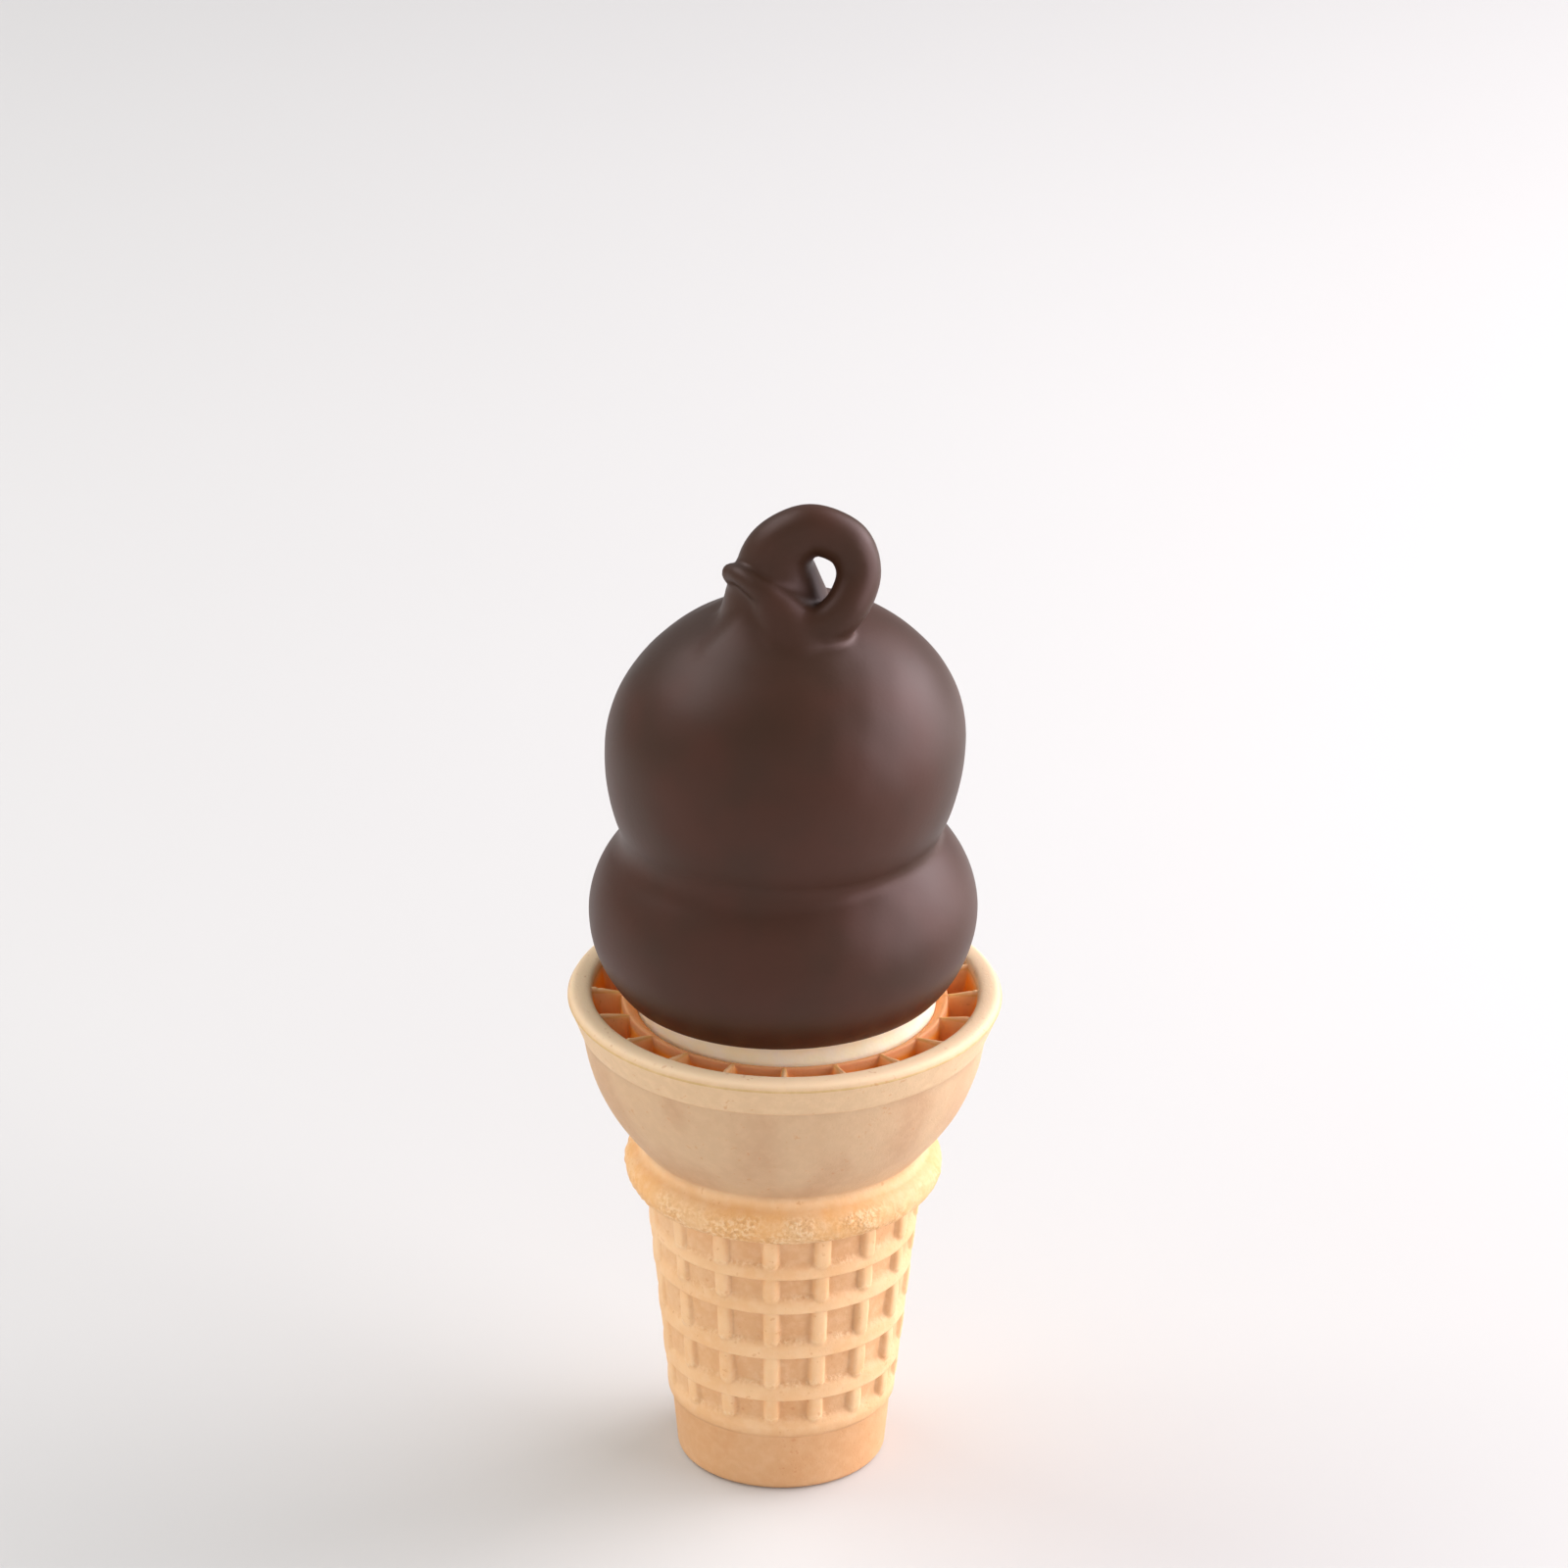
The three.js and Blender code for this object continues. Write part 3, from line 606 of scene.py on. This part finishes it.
def rough_tube(name, path):
    """A tube along the path: rings of points square to it, closed by a point at each end."""
    heading = np.gradient(path[:, :3], axis=0)
    heading /= np.linalg.norm(heading, axis=1)[:, None]
    across = np.cross(heading, [0.0, 1.0, 0.0])
    across /= np.linalg.norm(across, axis=1)[:, None]
    other = np.cross(heading, across)
    turn = np.linspace(0, 2 * np.pi, TUBE_SIDES, endpoint=False)[None, :, None]
    middle, radius, onward = path[:, None, :3], path[:, None, 3:], heading[:, None]
    rings = middle + radius * (np.cos(turn) * across[:, None] + np.sin(turn) * other[:, None])
    first = np.repeat(middle[:1] - onward[:1] * radius[:1] * 0.6, TUBE_SIDES, axis=1)
    last = np.repeat(middle[-1:] + onward[-1:] * radius[-1:] * 0.9, TUBE_SIDES, axis=1)
    return ring_piece(name, np.concatenate([first, rings, last]))


def join(pieces, name):
    """All pieces as one object. The joined meshes still run into each other."""
    with bpy.context.temp_override(active_object=pieces[0], selected_editable_objects=pieces):
        bpy.ops.object.join()
    pieces[0].name = name
    return pieces[0]


def apply_modifier(piece, kind, **settings):
    """Puts a modifier of that kind on the piece, and makes its result the piece's own mesh."""
    modifier = piece.modifiers.new(kind, kind)
    for key, value in settings.items():
        setattr(modifier, key, value)
    with bpy.context.temp_override(object=piece, active_object=piece):
        bpy.ops.object.modifier_apply(modifier=modifier.name)


dip = join([rough_lobes(), rough_neck(), rough_tube("rough_loop", PATH[:TAIL_START + 1]),
            rough_tube("rough_tail", PATH[TAIL_START - 6:])], "chocolate_dip")
apply_modifier(dip, "REMESH", mode="VOXEL", voxel_size=REMESH_SIZE * MM)
report_piece(dip)

# %% Walk the skin onto the smooth form


def mesh_points(piece):
    """The mesh's points in millimetres."""
    flat = np.empty(3 * len(piece.data.vertices), np.float32)
    piece.data.vertices.foreach_get("co", flat)
    return flat.reshape(-1, 3).astype(float) / MM


def slope_of(distance, p, step=0.03):
    """How the distance changes along X, Y and Z: its change over a small step, divided by the step."""
    here = distance(p)
    return here, np.stack([(distance(p + step * axis) - here) / step for axis in np.eye(3)], axis=1)


def settle(p, distance, rounds):
    """Moves each point by minus its distance times the slope, divided by the slope's square."""
    for _ in range(rounds):
        here, slope = slope_of(distance, p)
        steepness = np.maximum((slope ** 2).sum(axis=1), 0.2)
        p = p - np.clip(here / steepness, -0.6, 0.6)[:, None] * slope
    return p


skin = settle(mesh_points(dip), coat_distance, 6)
left_over = np.abs(coat_distance(skin))
uneven = 0.07 * lumps(skin, 17, seed=21) + 0.02 * lumps(skin, 6, seed=22)
_, outward = slope_of(coat_distance, skin)
outward /= np.linalg.norm(outward, axis=1)[:, None]
skin += outward * (uneven * smooth_share(skin[:, 2], COAT_EDGE + 0.4, COAT_EDGE + 4))[:, None]
dip.data.vertices.foreach_set("co", (skin * MM).astype(np.float32).ravel())
dip.data.update()
print("points off the form by more than 0.05 mm:", int((left_over > 0.05).sum()), "of", len(skin))

# %% [markdown]
# ## The vanilla inside
# Vanilla fills the cup, shows as a cream band between the ring and the chocolate, and runs up inside
# the coat. The coat's room is cut with a slightly larger copy of the same form, so both always fit.
# A Boolean cut is the right tool here, because the room's wall is hidden and may be coarse, while
# the lip of the coat comes out as a clean edge.

# %% Build the vanilla and cut its room out of the coat
COAT_THICKNESS = 1.4
LIP_THICKNESS = 0.6
SWELL_HEIGHT = 76.9                 # the band swells a little where it leaves the ring
ROOM_BOTTOM = 76.0                  # the room starts well below the lip of the coat


def inner_outline():
    """Radius and height of the vanilla inside the coat: the lobes' outline moved in by the coat's
    thickness, which grows from its lip up, and turned from sideways to downwards over the dome."""
    dome = UPPER["height"] + UPPER["above"] * np.sin(np.linspace(0.12, 1.5, 12))
    heights = np.concatenate([np.linspace(COAT_EDGE + 0.3, UPPER["height"], 26), dome])
    radius = lobe_radius(heights)
    thicker = smooth_share(heights, COAT_EDGE, COAT_EDGE + 6)
    depth = LIP_THICKNESS + (COAT_THICKNESS - LIP_THICKNESS) * thicker
    level = np.where(heights > UPPER["height"], 1 - radius / UPPER["radius"], 0)
    return np.stack([radius - depth * (1 - level), heights - depth * level], axis=1)


def vanilla_grid(columns, grow):
    """The vanilla's points: its outline in the cup, the band that shows, and the outline in the coat.
    grow moves the wall outwards, for the room that is cut in the coat."""
    hidden = np.array([[0, 2.8], [13.7, 2.8], [17.9, GRID_TOP], [18.3, WAIST_HEIGHT],
                       [21.8, 68.0], [22.35, 75.4]])
    shown = bend([(22.42, 76.3), (22.35, 77.6), (22.7, 79.4), (23.85, COAT_EDGE + 0.15)], 14)
    top = UPPER["height"] + UPPER["above"] - COAT_THICKNESS
    rows = np.vstack([hidden, shown, inner_outline(), [0, top]])
    radius, height = rows[:, :1] + grow * (rows[:, :1] > 1), rows[:, 1:]
    angle = np.linspace(0, 360, columns, endpoint=False)
    sine = np.sin(np.radians(angle))
    share = smooth_share(height, RING_INNER_TOP, COAT_EDGE)
    swell = np.exp(-((height - SWELL_HEIGHT) / 1.3) ** 2) * (0.12 + 0.5 * (0.5 + 0.5 * sine))
    tilted = height + EDGE_TILT * radius * sine * share
    return round_points(radius + swell, angle, tilted, axis_shift(height) * share)


vanilla_points = vanilla_grid(200, 0.0)
seen = smooth_share(vanilla_points[..., 2], 74, 77) * (1 - smooth_share(vanilla_points[..., 2], 81, 82))
vanilla_points[..., :2] *= (1 + 0.0022 * seen * lumps(vanilla_points, 5, seed=31))[..., None]
vanilla_core = ring_piece("vanilla_core", vanilla_points)
report_piece(vanilla_core)

room_points = vanilla_grid(96, 0.05)
room_points[room_points[..., 2] < ROOM_BOTTOM + 1, 2] = ROOM_BOTTOM
room = ring_piece("room", room_points)
apply_modifier(dip, "BOOLEAN", operation="DIFFERENCE", solver="MANIFOLD", object=room)
bpy.data.objects.remove(room)
report_piece(dip)

# %% [markdown]
# ## Finishes from sums of patterns
# A finish is a small net of nodes. Written out node by node it is hard to read, so one class wraps
# an output and lets Python's own signs add the Math nodes, and one method makes every other node.

# %% A short way to write nodes


class Wire:
    """One output of a node. Signs between wires and numbers add Math nodes."""

    def __init__(self, finish, socket):
        self.finish, self.socket = finish, socket

    def sum_with(self, operation, first, second):
        return self.finish.node("Math", {"operation": operation}, {0: first, 1: second})

    def __add__(self, other):
        return self.sum_with("ADD", self, other)

    __radd__ = __add__

    def __sub__(self, other):
        return self.sum_with("SUBTRACT", self, other)

    def __rsub__(self, other):
        return self.sum_with("SUBTRACT", other, self)

    def __mul__(self, other):
        return self.sum_with("MULTIPLY", self, other)

    __rmul__ = __mul__


class Finish:
    """A material with one Principled shader. Constants go straight onto the shader's sockets, under
    the socket's name with an underscore for each blank."""

    def __init__(self, name, **constants):
        self.material = bpy.data.materials.new(name)
        self.material.use_nodes = True
        self.tree = self.material.node_tree
        self.shader = self.tree.nodes["Principled BSDF"]
        for key, value in constants.items():
            self.shader.inputs[key.replace("_", " ")].default_value = value

    def plug(self, socket, value):
        """Links a wire to the socket, or sets a number or colour on it."""
        if isinstance(value, Wire):
            self.tree.links.new(value.socket, socket)
        else:
            socket.default_value = value

    def node(self, kind, settings=None, inputs=None, output=0):
        """Any node: its settings first, then the values and links of its sockets."""
        made = self.tree.nodes.new("ShaderNode" + kind)
        for key, value in (settings or {}).items():
            setattr(made, key, value)
        for key, value in (inputs or {}).items():
            self.plug(made.inputs[key], value)
        return Wire(self, made.outputs[output])

    def place(self, stretch=(1, 1, 1)):
        """The object's own coordinates in millimetres, stretched along its axes."""
        spot = self.node("TexCoord", output="Object")
        return self.node("Mapping", {}, {"Vector": spot, "Scale": [1000 * s for s in stretch]})

    def stored(self, name):
        """A value that is stored with the mesh's points under this name."""
        return self.node("Attribute", {"attribute_name": name}, output="Fac")

    def noise(self, size, detail=2.0, rough=0.5, stretch=(1, 1, 1)):
        """Cloudy noise between 0 and 1 whose blobs are about this many millimetres across."""
        return self.node("TexNoise", {}, {"Vector": self.place(stretch), "Scale": 1 / size,
                                          "Detail": detail, "Roughness": rough})

    def between(self, value, low, high):
        """0 where value is below low, 1 above high, and a smooth change in between."""
        return self.node("MapRange", {"interpolation_type": "SMOOTHSTEP"},
                         {"Value": value, "From Min": low, "From Max": high})

    def blend(self, share, first, second):
        """A colour between two colours."""
        return self.node("Mix", {"data_type": "RGBA"}, {0: share, 6: first, 7: second}, output=2)

    def set(self, socket, value):
        self.plug(self.shader.inputs[socket], value)

    def raise_by(self, height, depth_mm):
        """Turns a pattern into small heights on the surface."""
        inputs = {"Height": height, "Distance": depth_mm * MM, "Strength": 1.0}
        self.set("Normal", self.node("Bump", {}, inputs))


def colour(red, green, blue):
    """A screen colour from 0 to 255 as light values: ((c + 0.055) / 1.055) to the power 2.4."""
    share = (np.array([red, green, blue]) / 255 + 0.055) / 1.055
    return [float(c) for c in share ** 2.4] + [1.0]


print("Wire and Finish are ready")

# %% [markdown]
# ## Wafer
# Baked wafer is matte and full of fine pores. Its colour drifts from pale cream to gold, and layers
# of other tones lie over it: a browner bowl and foot, a golden bead, orange pockets in the moat with
# painted bounce light deeper down, painted shade on the ring's slope and in the sunk cells, a paler
# rim top that is a painted highlight, and small brown specks where the batter caught. A painted
# picture could give the same, but layers that follow the height, the stored values and patterns fit
# the shape by themselves.

# %% Wafer finish


def wafer_finish():
    """Layers of colour from the bottom up, each blended in by its own share. A share follows the
    height in mm, a value stored with the points, or a pattern."""
    wafer = Finish("baked wafer", Specular_IOR_Level=0.38, Subsurface_Weight=0.12,
                   Subsurface_Radius=(1.0, 0.6, 0.35), Subsurface_Scale=0.0012)
    height = wafer.node("SeparateXYZ", {}, {0: wafer.place()}, output=2)

    def zone(start, full, fading, end):
        """1 from the height full to the height fading, and 0 below start and above end."""
        return wafer.between(height, start, full) * (1 - wafer.between(height, fading, end))

    on_foot = 1 - wafer.between(height, 9.0, 13.0)
    on_bead = zone(45.8, 47.5, 51.5, 53.6)
    on_bowl = zone(53.0, 55.0, 72.8, 73.2)
    on_band = wafer.between(height, 72.9, 73.3)
    on_line = zone(77.55, 77.7, 77.9, 78.05)
    # Painted highlight: the rim's top is coloured paler.
    rim_top_highlight = wafer.between(height, 78.0, 78.8)
    coarse = wafer.stored("coarse")

    drift = wafer.between(wafer.noise(9.0, detail=3), 0.35, 0.65)
    mottle = wafer.noise(1.6, detail=4, rough=0.6)
    blotch = wafer.noise(13.0, detail=2, rough=0.4, stretch=(1.5, 1.5, 0.8))
    crumbs = wafer.noise(0.62, detail=2, rough=0.55)
    dots, groups = wafer.noise(0.9, detail=1), wafer.noise(5.0)
    specks = wafer.between(dots, 0.66, 0.74) * wafer.between(groups, 0.45, 0.6)
    pale_patches = (0.3 - 0.14 * on_foot - 0.16 * on_bowl) * wafer.between(mottle, 0.35, 0.75)

    base = wafer.blend(drift, colour(237, 194, 146), colour(232, 184, 133))
    golden = wafer.blend(wafer.between(blotch, 0.4, 0.6),
                         colour(226, 168, 102), colour(226, 179, 126))
    layers = [
        (0.6 * on_foot, colour(195, 140, 93)),
        (0.85 * on_bowl, colour(200, 168, 134)),
        (0.45 * on_bowl * wafer.between(blotch, 0.4, 0.66), colour(186, 141, 106)),
        (0.8 * on_bead, golden),
        (0.9 * on_band, colour(216, 184, 146)),
        # painted highlight: a paler rim top
        (0.75 * rim_top_highlight, colour(246, 217, 180)),
        (0.6 * on_line, colour(196, 160, 88)),
        # painted shade in the sunk cells, growing with their depth
        (0.6 * wafer.stored("painted_cell_shade"), colour(200, 144, 96)),
        (pale_patches, colour(242, 208, 168)),
        (0.5 * coarse * wafer.between(crumbs, 0.47, 0.62), colour(250, 222, 180)),
        (0.45 * coarse * (1 - wafer.between(crumbs, 0.34, 0.48)), colour(202, 150, 100)),
        # the moat's orange, painted stronger deeper down as bounce light, and painted shade on the ring's
        # slope
        (wafer.stored("pocket"), colour(255, 165, 58)),
        (0.8 * wafer.stored("thin ring"), colour(226, 150, 94)),
        (0.35 * specks, colour(196, 124, 70)),
    ]
    for share, tone in layers:
        base = wafer.blend(share, base, tone)
    wafer.set("Base Color", base)

    pores = wafer.node("TexVoronoi", {"feature": "F1"}, {"Vector": wafer.place(), "Scale": 1.5},
                       output="Distance")
    pits = wafer.between(pores, 0.05, 0.3)
    grain = wafer.noise(0.45, detail=3, rough=0.6)
    wafer.raise_by(0.2 * pits + 0.25 * grain + 0.4 * mottle + 3.4 * coarse * crumbs, 0.12)
    wafer.set("Roughness", 0.5 + 0.2 * mottle)
    return wafer.material


wafer_cup.data.materials.append(wafer_finish())
print("wafer:", len(wafer_cup.data.materials[0].node_tree.nodes), "nodes")

# %% [markdown]
# ## Vanilla and chocolate
# Frozen vanilla scatters light under its skin and looks soft. Set chocolate is dark and satin: a
# broad dull highlight, faint cloudiness in its gloss, and hardly any relief.

# %% Vanilla and chocolate finishes


def vanilla_finish():
    vanilla = Finish("vanilla soft serve", Subsurface_Weight=0.5,
                     Subsurface_Radius=(1.0, 0.85, 0.6), Subsurface_Scale=0.003)
    cloud = vanilla.noise(3.0, detail=3)
    cream = vanilla.blend(vanilla.between(cloud, 0.3, 0.7),
                          colour(255, 247, 212), colour(255, 250, 225))
    vanilla.set("Base Color", cream)
    vanilla.set("Roughness", 0.5 + 0.15 * cloud)
    vanilla.raise_by(vanilla.noise(0.8, detail=3), 0.05)
    return vanilla.material


def chocolate_finish():
    chocolate = Finish("set chocolate", Specular_IOR_Level=0.39,
                       Specular_Tint=(1.0, 0.72, 0.74, 1.0))
    cloud = chocolate.noise(16.0, detail=2)
    fine = chocolate.noise(0.7, detail=3)
    brown = chocolate.blend(chocolate.between(cloud, 0.35, 0.65),
                            colour(57, 37, 24), colour(65, 38, 25))
    chocolate.set("Base Color", brown)
    chocolate.set("Roughness", 0.4 + 0.06 * cloud + 0.03 * fine)
    chocolate.raise_by(fine, 0.012)
    return chocolate.material


vanilla_core.data.materials.append(vanilla_finish())
dip.data.materials.clear()
dip.data.materials.append(chocolate_finish())
dip.data.shade_smooth()
print("finishes on", vanilla_core.name, "and", dip.name)

# %% [markdown]
# ## Tie the pieces to the model
# Each piece stands for one CAD node, whose solid it hides, and rides on the model's one body.

# %% Tie the pieces
for piece, node, slot in [(wafer_cup, "cone", "wafer"), (vanilla_core, "ice_cream", "vanilla"),
                          (dip, "chocolate_coat", "chocolate")]:
    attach(piece, "root")
    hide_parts(node)
print("tied:", wafer_cup.name, vanilla_core.name, dip.name)

# %% [markdown]
# ## Floor, light and camera
# A plain pale floor and soft lamps let the shapes speak. Two lamps to the right give the broad
# highlight on the chocolate. A fill on the left lifts the dark side, a lamp from the top left
# catches the rim and the dome, and a wide weak panel in front opens the shadows. The camera is long
# and far, 25 degrees above level, as it has to be for the rim and the foot to look as they do.

# %% Floor
floor_mesh = bpy.data.meshes.new("floor")
floor_mesh.from_pydata([(-3, -3, 0), (3, -3, 0), (3, 3, 0), (-3, 3, 0)], [], [(0, 1, 2, 3)])
floor = bpy.data.objects.new("floor", floor_mesh)
bpy.context.scene.collection.objects.link(floor)
pale = Finish("pale floor", Roughness=0.9)
pale.set("Base Color", pale.blend(pale.noise(300.0), colour(207, 206, 204), colour(211, 210, 208)))
floor_mesh.materials.append(pale.material)

# %% Light
bpy.context.scene.view_settings.view_transform = "Standard"


def lamp(name, place, target, size, power, tint):
    """A soft rectangular lamp at place that faces target, all in metres."""
    light = bpy.data.lights.new(name, "AREA")
    light.shape = "RECTANGLE"
    light.size, light.size_y = size
    light.energy = power
    light.color = tint
    lamp_object = bpy.data.objects.new(name, light)
    lamp_object.location = place
    lamp_object.rotation_euler = (Vector(target) - Vector(place)).to_track_quat("-Z", "Y").to_euler()
    bpy.context.scene.collection.objects.link(lamp_object)
    return lamp_object


MIDDLE = (0, 0, 0.09)
lamp("key", (0.96, 0.02, 0.38), MIDDLE, (1.5, 0.9), 16.5, (1.0, 0.955, 1.0))
lamp("key top", (0.74, 0.42, 0.68), MIDDLE, (0.9, 0.8), 8, (1.0, 0.95, 1.0))
left_fill = lamp("left fill", (-0.95, -0.4, 0.24), MIDDLE, (1.1, 0.6), 5.6, (1.0, 0.98, 0.97))
left_fill.visible_glossy = False     # it lifts the wafer's dark side without a shine on the chocolate
lamp("top left", (-0.75, 0.35, 0.95), MIDDLE, (0.9, 0.6), 5.8, (0.97, 1.0, 0.98))
lamp("front panel", (-0.2, -1.5, 0.45), MIDDLE, (2.2, 1.4), 4, (1.0, 0.98, 0.95))
world = bpy.data.worlds.new("studio")
bpy.context.scene.world = world
world.use_nodes = True
world.node_tree.nodes["Background"].inputs["Color"].default_value = (0.9, 0.9, 0.92, 1)
world.node_tree.nodes["Background"].inputs["Strength"].default_value = 0.38

# %% Camera
PICTURE = 1600                       # the picture is this many pixels wide and high
ELEVATION = np.radians(25.286)
FOCAL_PIXELS = 8157.9
DISTANCE = 1.2
AIM = Vector((-0.0004, 0, 0.112891))
ROLL = np.radians(0.5)

back = Vector((0, -np.cos(ELEVATION), np.sin(ELEVATION)))
right = Vector((1, 0, 0))
up = back.cross(right)
turn = Matrix((right, up, back)).transposed().to_4x4() @ Matrix.Rotation(ROLL, 4, "Z")
lens = bpy.data.cameras.new("camera")
lens.sensor_width = 36
lens.lens = FOCAL_PIXELS / PICTURE * lens.sensor_width
camera = bpy.data.objects.new("camera", lens)
camera.matrix_world = Matrix.Translation(AIM + back * DISTANCE) @ turn
bpy.context.scene.collection.objects.link(camera)
bpy.context.scene.camera = camera
print("camera at", [round(v, 3) for v in camera.location], "lens", round(lens.lens, 1), "mm")

# %% [markdown]
# ## Update the scene
# The view layer is brought up to date once all the pieces are made. The finished pieces have
# to stay inside the CAD model's box.

# %% Update the view layer
bpy.context.view_layer.update()
